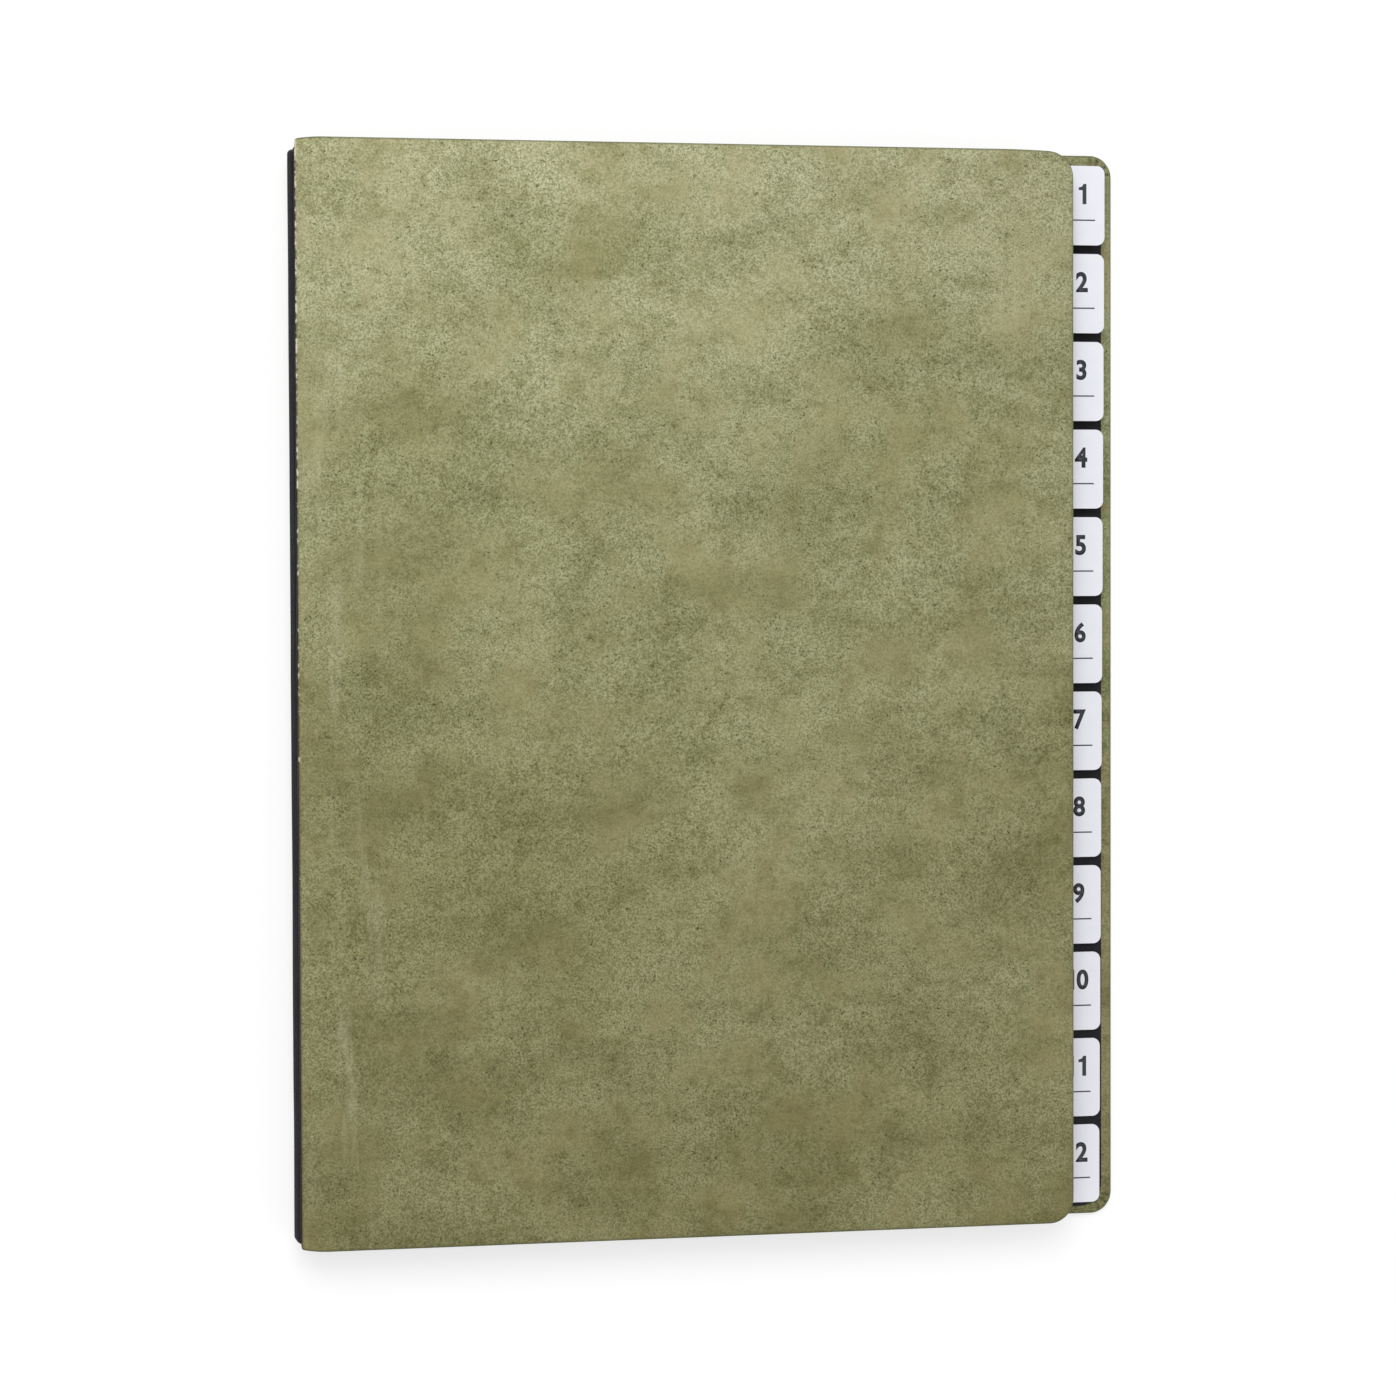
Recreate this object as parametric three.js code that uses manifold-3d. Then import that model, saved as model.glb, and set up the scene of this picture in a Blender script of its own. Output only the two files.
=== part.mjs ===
// A desk index folder for A4 papers, lying shut on its back cover, in millimetres with +Z up.
// Two boards wrapped in split leather are hinged to a pleated cloth spine. Twelve card leaves are
// glued into the pleats, and each leaf has its own die-cut index tab with a folded white label.
// The origin is under the middle of the folder. The spine is at -X and the head of the pages at +Y.

import * as THREE from "three";
import { mergeVertices } from "three/addons/utils/BufferGeometryUtils.js";
import Module from "manifold-3d";

const wasm = await Module();
wasm.setup();

// Whole folder
const coverHeight = 340;
const backCoverWidth = 264;
const frontCoverWidth = 246;
const folderThickness = 20.5;
const frontCornerRadius = 8;
const backCornerRadius = 7;
const frontHingeRadius = 1.5;
const backHingeRadius = 5;
const coverArcSides = 6;

// Materials by thickness
const leatherThickness = 0.8;
const boardThickness = 1.8;
const turnInThickness = 0.4;
const liningThickness = 0.25;
const leafThickness = 0.4;
const labelFilm = 0.12;
const clothThickness = 0.18;

// Leather joint between a board and the spine
const jointWidth = 9;
const shoulderDrop = 3;
const shoulderSetback = 0.6;
const shoulderSteps = 6;

// Leather folded over the board edges, and the lining paper pasted on it
const turnInWidth = 13;
const edgeRounding = 0.75;
const edgeRoundingSteps = 2;
const pasteGap = 0.3;
const liningMarginHead = 3.8;
const liningMarginFore = 4.3;
const liningMarginTail = 2.7;
const liningCornerRadius = 7;
const liningBendFromHinge = 5;

// Pleated spine
const leafCount = 12;
const spineProud = 1.2;
const spineFlatness = 0.25;
const spineMargin = 0.35;
const spineEndMargin = 1.9;
const spineCornerRadius = 3;
const spineArcSides = 4;
const pleatDepth = 7;
const pleatFoldGap = 0.09;
const outerFoldSteps = 6;
const innerFoldSteps = 4;

// Leaves
const leafEndMargin = 4.1;
const tabToCoverEdge = 4.7;
const leafSpineClearance = 0.5;
const leafCornerRadius = 4;
const leafFallStart = 8;
const leafFallLength = 80;
const leafFallSteps = 8;
const leafStackGap = 0.1;
const leafRestGap = 0.2;
const sightHoleCount = 4;
const sightHoleRadius = 12;
const sightHoleSpacing = 76;
const sightHoleFromSpine = 150;
const sightHoleSides = 16;

// Index tabs and their labels
const tabReach = 15;
const tabGap = 3;
const tabCornerRadius = 2.4;
const tabArcSides = 4;
const labelSetback = 0.4;

// How far a shape runs on into what it joins or past what it cuts
const overrun = 1;

// Places that follow from the sizes
const folderWidth = backCoverWidth + spineProud;
const hingeX = -folderWidth / 2 + spineProud;
const boardEdgeX = hingeX + jointWidth;
const turnInDepth = leatherThickness + boardThickness;
const liningDepth = turnInDepth + turnInThickness;
const innerDepth = liningDepth + liningThickness;
const halfHeight = coverHeight / 2;
const spineHeight = coverHeight - 2 * spineEndMargin;
const leafHeight = coverHeight - 2 * leafEndMargin;
const leafBodyWidth = backCoverWidth - tabToCoverEdge - tabReach;
const tabPitch = (leafHeight + tabGap) / leafCount;
const tabHeight = tabPitch - tabGap;

// Slope of the leather where it ends at the hinge line, and the depth its inner side reaches there.
const rawEdgeSlope = Math.atan2(2 * shoulderDrop, jointWidth);
const rawEdgeDepth = shoulderDrop + leatherThickness * Math.cos(rawEdgeSlope);
const hingeLiningDepth = rawEdgeDepth + liningThickness + spineMargin;

const leatherGreen = new THREE.MeshStandardMaterial({ color: 0x8f9169, roughness: 0.85, metalness: 0 });
const greyBoard = new THREE.MeshStandardMaterial({ color: 0x8a8378, roughness: 0.95, metalness: 0 });
const blackLining = new THREE.MeshStandardMaterial({ color: 0x17171a, roughness: 0.7, metalness: 0 });
const blackCloth = new THREE.MeshStandardMaterial({ color: 0x1d1e24, roughness: 0.8, metalness: 0 });
const blackCard = new THREE.MeshStandardMaterial({ color: 0x151517, roughness: 0.75, metalness: 0 });
const whiteLabel = new THREE.MeshStandardMaterial({ color: 0xe9eaef, roughness: 0.35, metalness: 0 });

// Turns a closed three.js geometry into a solid that can be joined and cut.
function solid(geometry) {
  const bare = geometry.index ? geometry.toNonIndexed() : geometry.clone();
  bare.deleteAttribute("normal");
  bare.deleteAttribute("uv");
  const merged = mergeVertices(bare, 1e-5);
  return new wasm.Manifold(
    new wasm.Mesh({
      numProp: 3,
      vertProperties: merged.attributes.position.array,
      triVerts: new Uint32Array(merged.index.array),
    }),
  );
}

// Turns a solid back into a three.js mesh with a name.
function part(name, shape, material) {
  const mesh = shape.getMesh();
  const geometry = new THREE.BufferGeometry();
  geometry.setAttribute("position", new THREE.BufferAttribute(new Float32Array(mesh.vertProperties), 3));
  geometry.setIndex(new THREE.BufferAttribute(new Uint32Array(mesh.triVerts), 1));
  geometry.computeVertexNormals();
  const made = new THREE.Mesh(geometry, material);
  made.name = name;
  return made;
}

// A flat plate with its outline in XY, between two heights.
function plate(outline, lowZ, highZ, sides) {
  const options = { depth: highZ - lowZ, bevelEnabled: false, curveSegments: sides };
  return solid(new THREE.ExtrudeGeometry(outline, options).translate(0, 0, lowZ));
}

// A plate whose upper and lower edges are rounded off inside its outline.
function roundedPlate(outline, lowZ, highZ, rounding) {
  const options = {
    depth: highZ - lowZ - 2 * rounding,
    bevelThickness: rounding,
    bevelSize: rounding,
    bevelOffset: -rounding,
    bevelSegments: edgeRoundingSteps,
    curveSegments: coverArcSides,
  };
  return solid(new THREE.ExtrudeGeometry(outline, options).translate(0, 0, lowZ + rounding));
}

// A closed section in XZ, drawn out along Y between two heights of the page.
function drawnAlongPage(section, lowY, highY) {
  const geometry = new THREE.ExtrudeGeometry(new THREE.Shape(section), {
    depth: highY - lowY,
    bevelEnabled: false,
  });
  return solid(geometry.rotateX(Math.PI / 2).translate(0, highY, 0));
}

// A rectangle in XY with its own radius at the spine side and at the fore edge side.
function pageOutline(left, right, low, high, spineRadius, foreRadius) {
  const outline = new THREE.Shape();
  const corner = (x, y, radius, quarter) => {
    const start = (quarter * Math.PI) / 2;
    if (radius > 0) outline.absarc(x, y, radius, start, start + Math.PI / 2, false);
    else outline.lineTo(x, y);
  };
  outline.moveTo(left + spineRadius, low);
  corner(right - foreRadius, low + foreRadius, foreRadius, -1);
  corner(right - foreRadius, high - foreRadius, foreRadius, 0);
  corner(left + spineRadius, high - spineRadius, spineRadius, 1);
  corner(left + spineRadius, low + spineRadius, spineRadius, 2);
  return outline;
}

// A ribbon of even thickness to the left of a line of points, as a closed section.
function ribbonSection(points, thickness) {
  const far = points.map((point, i) => {
    const before = points[Math.max(i - 1, 0)];
    const after = points[Math.min(i + 1, points.length - 1)];
    const along = new THREE.Vector2().subVectors(after, before).normalize();
    return new THREE.Vector2(point.x - along.y * thickness, point.y + along.x * thickness);
  });
  return [...points, ...far.reverse()];
}

// Height of a layer of a cover, from its depth under that cover's outer face.
function heightOf(side, depth) {
  return side === "front" ? folderThickness - depth : depth;
}

// A plate of a cover between two depths.
function coverPlate(side, outline, depthA, depthB) {
  const heights = [heightOf(side, depthA), heightOf(side, depthB)];
  return plate(outline, Math.min(...heights), Math.max(...heights), coverArcSides);
}

// A ribbon of a cover that keeps one section from tail to head. Its points are x and depth.
function coverRibbon(side, points, thickness, lowY, highY) {
  const section = ribbonSection(points, thickness);
  return drawnAlongPage(
    section.map((p) => new THREE.Vector2(p.x, heightOf(side, p.y))),
    lowY,
    highY,
  );
}

// The leather: one skin over the board, folded round its three outer edges onto the inner face,
// and bent down over the joint to a raw cut edge at the hinge line.
function coverLeather(side, width, cornerRadius, hingeRadius) {
  const foreX = hingeX + width;
  const outline = pageOutline(boardEdgeX, foreX, -halfHeight, halfHeight, 0, cornerRadius);
  const overhang = 2 * edgeRounding;
  const envelope = pageOutline(boardEdgeX - overhang, foreX, -halfHeight, halfHeight, 0, cornerRadius);
  const heights = [heightOf(side, 0), heightOf(side, liningDepth)];
  const rounded = roundedPlate(envelope, Math.min(...heights), Math.max(...heights), edgeRounding);
  const inset = leatherThickness;
  const pocket = pageOutline(
    boardEdgeX - overhang,
    foreX - inset,
    -halfHeight + inset,
    halfHeight - inset,
    0,
    cornerRadius - inset,
  );
  const window = pageOutline(
    boardEdgeX - overhang,
    foreX - turnInWidth,
    -halfHeight + turnInWidth,
    halfHeight - turnInWidth,
    0,
    0,
  );
  const wrap = coverPlate(side, outline, 0, liningDepth)
    .intersect(rounded)
    .subtract(coverPlate(side, pocket, leatherThickness, turnInDepth))
    .subtract(coverPlate(side, window, leatherThickness, liningDepth + overrun));
  const shoulder = [new THREE.Vector2(boardEdgeX + overrun, 0)];
  for (let i = 0; i <= shoulderSteps; i++) {
    const share = i / shoulderSteps;
    shoulder.push(new THREE.Vector2(boardEdgeX - jointWidth * share, shoulderDrop * share * share));
  }
  const reach = halfHeight - shoulderSetback;
  const jointOutline = pageOutline(hingeX, foreX, -reach, reach, hingeRadius, 0);
  const joint = coverRibbon(side, shoulder, -leatherThickness, -reach, reach);
  return wrap.add(joint.intersect(coverPlate(side, jointOutline, 0, rawEdgeDepth + overrun)));
}

// The stiff board inside the leather.
function coverBoard(side, width, cornerRadius) {
  const inset = leatherThickness + pasteGap;
  const outline = pageOutline(
    boardEdgeX,
    hingeX + width - inset,
    -halfHeight + inset,
    halfHeight - inset,
    0,
    cornerRadius - inset,
  );
  return coverPlate(side, outline, leatherThickness, turnInDepth);
}

// The lining paper over the inner face, which runs on down the joint to the hinge line.
function coverLining(side, width, hingeRadius) {
  const foreX = hingeX + width - liningMarginFore;
  const flatEnd = hingeX + liningBendFromHinge;
  const foot = hingeX + leatherThickness + pasteGap;
  const line = [
    new THREE.Vector2(foreX + overrun, liningDepth),
    new THREE.Vector2(flatEnd, liningDepth),
    new THREE.Vector2(foot, rawEdgeDepth + pasteGap / 2),
  ];
  const low = -halfHeight + liningMarginTail;
  const high = halfHeight - liningMarginHead;
  const outline = pageOutline(hingeX, foreX, low, high, hingeRadius, liningCornerRadius);
  const layer = coverRibbon(side, line, -liningThickness, low, high);
  return layer.intersect(coverPlate(side, outline, 0, hingeLiningDepth + overrun));
}

// Height of the middle of a pleat. Pleat 1 is under the front cover.
const spineLow = hingeLiningDepth;
const pleatPitch = (folderThickness - 2 * spineLow) / leafCount;
const pleatWidth = pleatPitch - pleatFoldGap;
function pleatMiddle(number) {
  return folderThickness / 2 + ((leafCount + 1) / 2 - number) * pleatPitch;
}

// How far an outer fold stands proud of the hinge line: the shut spine is slightly round.
function pleatProud(number) {
  const fromMiddle = (number - (leafCount + 1) / 2) / (leafCount / 2);
  return spineProud * Math.sqrt(1 - (1 - spineFlatness) * fromMiddle * fromMiddle);
}

// The spine: one cloth strip folded to and fro, open towards the leaves.
function spineCloth() {
  const middle = clothThickness / 2;
  const innerX = hingeX + pleatDepth;
  const path = [];
  const fold = (centreX, centreZ, radius, steps, turn) => {
    for (let i = 0; i <= steps; i++) {
      const angle = -Math.PI / 2 + (turn * Math.PI * i) / steps;
      path.push(new THREE.Vector2(centreX + radius * Math.cos(angle), centreZ + radius * Math.sin(angle)));
    }
  };
  for (let number = leafCount; number >= 1; number--) {
    const outerRadius = pleatWidth / 2 - middle;
    const foldX = hingeX - pleatProud(number) + pleatWidth / 2;
    if (number === leafCount) path.push(new THREE.Vector2(innerX, pleatMiddle(number) - outerRadius));
    fold(foldX, pleatMiddle(number), outerRadius, outerFoldSteps, -1);
    if (number === 1) {
      path.push(new THREE.Vector2(innerX, pleatMiddle(number) + outerRadius));
      continue;
    }
    const innerRadius = pleatPitch / 2 - outerRadius;
    fold(innerX, pleatMiddle(number) + pleatPitch / 2, innerRadius, innerFoldSteps, 1);
  }
  const half = (points, offset) => ribbonSection(points, offset).slice(points.length).reverse();
  const section = [...half(path, middle), ...half(path, -middle).reverse()];
  const reach = spineHeight / 2;
  const strip = drawnAlongPage(section, -reach, reach);
  const outerX = hingeX - spineProud;
  const outline = pageOutline(outerX, innerX + pleatPitch, -reach, reach, spineCornerRadius, 0);
  return strip.intersect(plate(outline, 0, folderThickness, spineArcSides));
}

// Height of the underside of a leaf where the leaves lie stacked on the back cover.
function stackedUnderside(number) {
  return innerDepth + labelFilm + leafRestGap + (leafCount - number) * (leafThickness + leafStackGap);
}

// Underside of a leaf at a distance from the hinge line: level in its pleat, then falling to the stack.
function leafUnderside(number, distance) {
  const inPleat = pleatMiddle(number) - leafThickness / 2;
  const share = Math.min(Math.max((distance - leafFallStart) / leafFallLength, 0), 1);
  const kept = 1 - share * share * (3 - 2 * share);
  return stackedUnderside(number) + (inPleat - stackedUnderside(number)) * kept;
}

// Middle of an index tab along the page. Tab 1 is at the head.
function tabMiddle(number) {
  return leafHeight / 2 - tabHeight / 2 - (number - 1) * tabPitch;
}

// An index tab or its label, seen from above, with round corners at the fore edge.
function tabOutline(number, startX, grow) {
  const low = tabMiddle(number) - tabHeight / 2 - grow;
  const high = tabMiddle(number) + tabHeight / 2 + grow;
  const foreX = hingeX + leafBodyWidth + tabReach + grow;
  return pageOutline(startX, foreX, low, high, 0, tabCornerRadius + grow);
}

// A leaf: a card sheet with one tab at its fore edge and a row of round sight holes.
function indexLeaf(number) {
  const spineX = hingeX - pleatProud(number) + clothThickness + leafSpineClearance;
  const bodyX = hingeX + leafBodyWidth;
  const stations = [0];
  for (let i = 0; i <= leafFallSteps; i++) {
    stations.push(leafFallStart + (leafFallLength * i) / leafFallSteps);
  }
  stations.push(leafBodyWidth + tabReach + overrun);
  const lower = stations.map((d) => new THREE.Vector2(hingeX + d, leafUnderside(number, d)));
  lower[0].x = spineX - overrun;
  const upper = lower.map((p) => new THREE.Vector2(p.x, p.y + leafThickness)).reverse();
  const sheet = drawnAlongPage([...lower, ...upper], -leafHeight, leafHeight);
  const half = leafHeight / 2;
  const body = pageOutline(spineX, bodyX, -half, half, leafCornerRadius, 0);
  const firstHole = (-(sightHoleCount - 1) / 2) * sightHoleSpacing;
  for (let i = 0; i < sightHoleCount; i++) {
    const rim = Array.from({ length: sightHoleSides }, (_, k) => {
      const angle = (2 * Math.PI * k) / sightHoleSides;
      return new THREE.Vector2(
        hingeX + sightHoleFromSpine + sightHoleRadius * Math.cos(angle),
        firstHole + i * sightHoleSpacing + sightHoleRadius * Math.sin(angle),
      );
    });
    body.holes.push(new THREE.Path(rim));
  }
  const tab = plate(tabOutline(number, bodyX - overrun, 0), 0, folderThickness, tabArcSides);
  return sheet.intersect(plate(body, 0, folderThickness, tabArcSides).add(tab));
}

// A label: one strip of film-covered paper folded round the tab, open where it meets the leaf.
function tabLabel(number, leaf) {
  const low = stackedUnderside(number) - labelFilm;
  const high = stackedUnderside(number) + leafThickness + labelFilm;
  const startX = hingeX + leafBodyWidth + labelSetback;
  return plate(tabOutline(number, startX, labelFilm), low, high, tabArcSides).subtract(leaf);
}

const folder = new THREE.Group();

for (const [side, width, cornerRadius, hingeRadius] of [
  ["back", backCoverWidth, backCornerRadius, backHingeRadius],
  ["front", frontCoverWidth, frontCornerRadius, frontHingeRadius],
]) {
  const cover = new THREE.Group();
  cover.add(
    part(`${side}_leather`, coverLeather(side, width, cornerRadius, hingeRadius), leatherGreen),
    part(`${side}_board`, coverBoard(side, width, cornerRadius), greyBoard),
    part(`${side}_lining`, coverLining(side, width, hingeRadius), blackLining),
  );
  folder.add(cover);
}

const block = new THREE.Group();
block.add(part("spine_bellows", spineCloth(), blackCloth));
for (let number = 1; number <= leafCount; number++) {
  const tag = String(number).padStart(2, "0");
  const leaf = indexLeaf(number);
  block.add(part(`leaf_${tag}`, leaf, blackCard));
  block.add(part(`tab_label_${tag}`, tabLabel(number, leaf), whiteLabel));
}
folder.add(block);

export default folder;
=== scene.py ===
"""A desk index folder in olive split leather, lying shut on a white table and seen from above."""

import math

import bmesh
import bpy
import numpy as np
from mathutils import Matrix, Vector, noise


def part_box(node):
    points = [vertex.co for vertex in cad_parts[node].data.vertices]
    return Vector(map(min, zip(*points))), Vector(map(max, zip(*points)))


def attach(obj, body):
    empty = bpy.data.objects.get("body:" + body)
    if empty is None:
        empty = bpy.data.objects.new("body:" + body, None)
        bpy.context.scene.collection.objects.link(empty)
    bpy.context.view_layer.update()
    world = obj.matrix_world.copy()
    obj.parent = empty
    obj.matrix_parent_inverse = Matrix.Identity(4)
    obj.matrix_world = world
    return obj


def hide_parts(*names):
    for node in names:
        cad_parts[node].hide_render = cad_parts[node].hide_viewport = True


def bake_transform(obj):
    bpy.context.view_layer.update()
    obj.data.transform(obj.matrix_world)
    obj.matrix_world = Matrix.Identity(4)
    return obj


MM = 0.001
# Points of a mesh that lie closer together than this are one
MERGE_DISTANCE = 0.002 * MM

# Leather covers
TURN_IN_THICKNESS = 0.4 * MM
TURN_IN_WIDTH = 13 * MM
LEATHER_THICKNESS = 0.8 * MM
CORNER_RADIUS = {"back": 7 * MM, "front": 8 * MM}
HINGE_RADIUS = {"back": 5 * MM, "front": 0.8 * MM}
HINGE_CORNER_REACH = 25 * MM
# How far the head edge hangs at its fore corner, and the length over which it comes down
HEAD_DIP = {"back": 0, "front": 0.9 * MM}
HEAD_DIP_REACH = 24 * MM
JOINT_WIDTH = 9 * MM
SHOULDER_DROP = 3 * MM
SHOULDER_SETBACK = 0.6 * MM
# At the hinge line the leather is pared, so the cover and its turn-in are thinner there
SKIVED_THICKNESS = 1.2 * MM
SKIVED_TURN_IN = 0.3 * MM
# Insets of the rows of points on the turn-in and on the face
TURN_IN_ROWS = np.array([11, 9.5, 8, 6.5, 5, 3.8, 2.6]) * MM
FACE_ROWS = np.array([2.4, 3.6, 5.5, 8, 11]) * MM
ROLL_STEPS = 10
CORNER_STEPS = 56
FACE_STEP = 2.6 * MM
# Rows over the joint: how many, how they crowd at the hinge line, and how many joints wide they reach
JOINT_STEPS = 20
JOINT_CROWDING = 1.6
JOINT_ROWS_REACH = 1.3
# Creases in half a turn round a corner, their depth, and how much their spacing varies and how fast,
# round the corner and up the page
GATHERS = 7
GATHER_DEPTH = 0.4 * MM
GATHER_UNEVENNESS = 0.5
GATHER_DRIFT = (3.1, 40)
CORNER_TOLERANCE = 0.0001 * MM
# Unevenness of the face, and where each cover takes it from the noise
FACE_WAVE = 0.28 * MM
FACE_WAVE_LENGTH = 60 * MM
FACE_WAVE_SHIFT = {"back": 5.0, "front": 0.0}
# Half the height of a cover, over which the hide's colours change
HIDE_REACH = 170 * MM
# Handling marks beside the hinge: the middle of their band and half its width, how it fades, and their
# lean in radians
MARKS_FROM_HINGE = 14 * MM
MARKS_FADE = 0.7
STREAK_LEAN = 0.07
# Width of the cut edge that shows raw fibre, and of its fading
RAW_EDGE = 0.15 * MM
RAW_EDGE_FADE = 0.5 * MM

# Pleated spine, whose middle pleats stand proud of the end ones
PLEATS = 12
PLEAT_DEPTH = 7 * MM
CLOTH_THICKNESS = 0.18 * MM
PLEAT_FOLD_GAP = 0.09 * MM
SPINE_PROUD = 1.2 * MM
SPINE_FLATNESS = 0.25
SPINE_CORNER_RADIUS = 1.4 * MM
# Angles between which the rounding of an end has its stations
SPINE_CORNER_ANGLES = (0.15, 1.57)
SPINE_CORNER_STEPS = 5
# The head end is set back, and slants out again towards the back cover over its last stretch
SPINE_HEAD_SET_BACK = 2.0 * MM
SPINE_HEAD_SLANT = 1.3 * MM
SPINE_SLANT_REACH = 30 * MM
SPINE_STEP = 3 * MM
OUTER_FOLD_STEPS = 12
INNER_FOLD_STEPS = 3
PLEAT_WALL_STEPS = 5
# Unevenness of the pleats, its length along a fold and across the folds, and how much it leans inwards
SPINE_WAVE = 0.12 * MM
SPINE_WAVE_LENGTH = 38 * MM
SPINE_WAVE_ACROSS = 2.4 * MM
SPINE_WAVE_BIAS = 0.4

# Joint cloths
JOINT_CLOTH_THICKNESS = 0.16 * MM
JOINT_CLOTH_STATIONS = 60
# From the end pleat's outer side, over the gap and onto the leather's cut edge: millimetres past the
# hinge line, and shares of the gap between leather and pleat
JOINT_CLOTH_LINE = (
    (0.9, 1.02),
    (0.35, 1),
    (-0.02, 0.9),
    (-0.12, 0.72),
    (-0.1, 0.5),
    (-0.04, 0.28),
    (0.06, 0.1),
)

# Lining, whose fore edge is moved out to show beside the labels as a thin black line: partly the real
# lining, partly a dark sheet put where the labels' shadow falls, a painted shadow
LINING_CORNER_RADIUS = 7.2 * MM
LINING_PAST_LABELS_FOR_SHADOW = 0.6 * MM

# Cloth weave
# Real threads lie 0.35 mm apart. They are drawn 0.7 mm apart, so that they show.
THREAD_SPACING = 0.7 * MM
# What a wave texture's scale is multiplied by for one band in each unit of length
WAVE_BANDS = 0.314

# Soft patches of colour: how rough their noise is, and how far apart in it the layers are taken
PATCH_ROUGHNESS = 0.56
PATCH_SHIFT = 70

# Printed labels: places are measured down from a label's upper end
NUMERAL_HEIGHT = 6.45 * MM
NUMERAL_NARROWING = 0.93
NUMERAL_FROM_TOP = 8.9 * MM
TWO_DIGIT_SHIFT = 0.65 * MM
RULE_FROM_TOP = 17.2 * MM
RULE_LENGTH = 8.5 * MM
RULE_WIDTH = 0.42 * MM
INK_THICKNESS = 0.02 * MM
# How far a digit's outline is moved outwards to make it bold, and the room for each, in digit heights
DIGIT_WEIGHT = 0.034
DIGIT_PITCH = 0.64
DIGIT_CURVE_STEPS = 6
# The digit 1, one unit high
DIGIT_ONE = (
    (0.22, 0),
    (0.42, 0),
    (0.42, 1),
    (0.27, 1),
    (0.20, 0.87),
    (0.02, 0.82),
    (0.02, 0.69),
    (0.22, 0.69),
)

# Camera, found from the photograph with the folder 340 mm high, its angles in degrees
PHOTO_SIDE = 1396
CAMERA_FOCAL_PIXELS = 4113
CAMERA_DISTANCE = 1297 * MM
CAMERA_FROM_LEFT = 12.26
CAMERA_FROM_HEAD = 1.96
CAMERA_ROLL = -0.20
CAMERA_SENSOR_WIDTH = 36
CAMERA_CLIP_START = 0.05
CAMERA_TARGET = Vector((-2.95 * MM, -2.3 * MM, 0))

# Light and table, in metres and watts
LAMP_PLACE = Vector((-0.45, 0.95, 1.95))
LAMP_SIZE = 1.1
LAMP_POWER = 27
SURROUND = 0.63
TABLE_SIZE = 8
TABLE_GLOW = 0.66
TABLE_FADE_START = 0.24
TABLE_FADE_END = 0.62

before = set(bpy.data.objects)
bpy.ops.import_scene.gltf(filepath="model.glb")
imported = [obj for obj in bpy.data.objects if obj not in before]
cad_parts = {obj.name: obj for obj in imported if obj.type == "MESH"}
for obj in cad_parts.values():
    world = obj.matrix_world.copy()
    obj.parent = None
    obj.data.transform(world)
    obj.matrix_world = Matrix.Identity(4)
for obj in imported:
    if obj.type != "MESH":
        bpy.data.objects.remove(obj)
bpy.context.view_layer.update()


def linear(hex_colour):
    """An sRGB hex colour as linear red, green, blue and alpha."""
    channels = [int(hex_colour[i : i + 2], 16) / 255 for i in (1, 3, 5)]
    straight = [c / 12.92 if c <= 0.04045 else ((c + 0.055) / 1.055) ** 2.4 for c in channels]
    return (*straight, 1.0)


def add(tree, kind, **settings):
    """Adds a node. A name in small letters sets a property, and one with a capital fills an input.

    An input takes a value, a hex colour, a socket, or a node, which stands for its first output.
    A list fills the inputs that share one name, in order.
    """
    node = tree.nodes.new(kind)
    for name in filter(str.islower, settings):
        setattr(node, name, settings[name])
    for name in [n for n in settings if not n.islower()]:
        sockets = [s for s in node.inputs if s.enabled and s.name == name.replace("_", " ")]
        if not sockets:
            raise KeyError(f"{kind} has no input {name}")
        given = settings[name] if isinstance(settings[name], list) else [settings[name]]
        for socket, value in zip(sockets, given, strict=len(given) > 1):
            if isinstance(value, bpy.types.Node):
                value = next(s for s in value.outputs if s.enabled)
            if isinstance(value, bpy.types.NodeSocket):
                tree.links.new(value, socket)
            else:
                socket.default_value = linear(value) if isinstance(value, str) else value
    return node


def finish_of(name, make):
    """A material whose surface shader gets what make gives for its tree and the place on the piece."""
    material = bpy.data.materials.new(name)
    material.use_nodes = True
    tree = material.node_tree
    tree.nodes.clear()
    place = add(tree, "ShaderNodeTexCoord").outputs["Object"]
    shader = add(tree, "ShaderNodeBsdfPrincipled", **make(tree, place))
    add(tree, "ShaderNodeOutputMaterial", Surface=shader)
    return material


def laid_over(tree, place, colour, layers, kept=None):
    """Lays soft patches of colour over a colour.

    Each layer has the patches' size, their detail and stretch, the noise values between which they come
    in, their strength, their colour and how it mixes. kept is the share of them left at each place.
    """
    for size, detail, stretch, low, high, strength, tint, way in layers:
        shift = (size * PATCH_SHIFT, detail, low)
        moved = add(tree, "ShaderNodeMapping", Vector=place, Location=shift, Scale=stretch)
        cloud = add(
            tree,
            "ShaderNodeTexNoise",
            Vector=moved,
            Scale=1 / size,
            Detail=detail,
            Roughness=PATCH_ROUGHNESS,
        )
        share = add(
            tree,
            "ShaderNodeMapRange",
            interpolation_type="SMOOTHSTEP",
            Value=cloud,
            From_Min=low,
            From_Max=high,
            To_Max=strength,
        )
        if kept:
            share = add(tree, "ShaderNodeMath", operation="MULTIPLY", Value=[share, kept])
        colour = add(
            tree, "ShaderNodeMix", data_type="RGBA", blend_type=way, Factor=share, A=colour, B=tint
        )
    return colour


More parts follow.
